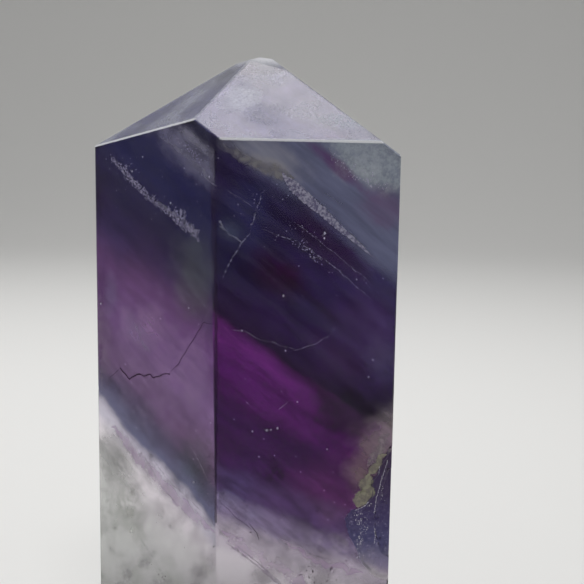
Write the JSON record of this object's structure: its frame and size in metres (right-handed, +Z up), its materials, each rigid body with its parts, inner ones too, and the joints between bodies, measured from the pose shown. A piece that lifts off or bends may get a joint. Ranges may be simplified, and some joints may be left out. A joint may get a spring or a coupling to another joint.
{
  "type": "fluorite point",
  "caption": "Polished crystal tower of banded violet fluorite, standing on a flat base and cut to a faceted point, as a display stone.",
  "frame": {"origin": "centre of the outline at the flat base, so the stone stands on Z = 0", "axes": "+Z up along the prism, from base to point; -Y is the side that the broad front face looks to, and +X is to the right of that face"},
  "size_m": [0.0344, 0.0276, 0.0799],
  "materials": {
    "fluorite": "polished, translucent to clear, banded"
  },
  "bodies": {
    "root": {"fluorite_point": "fluorite"}
  },
  "joints": []
}
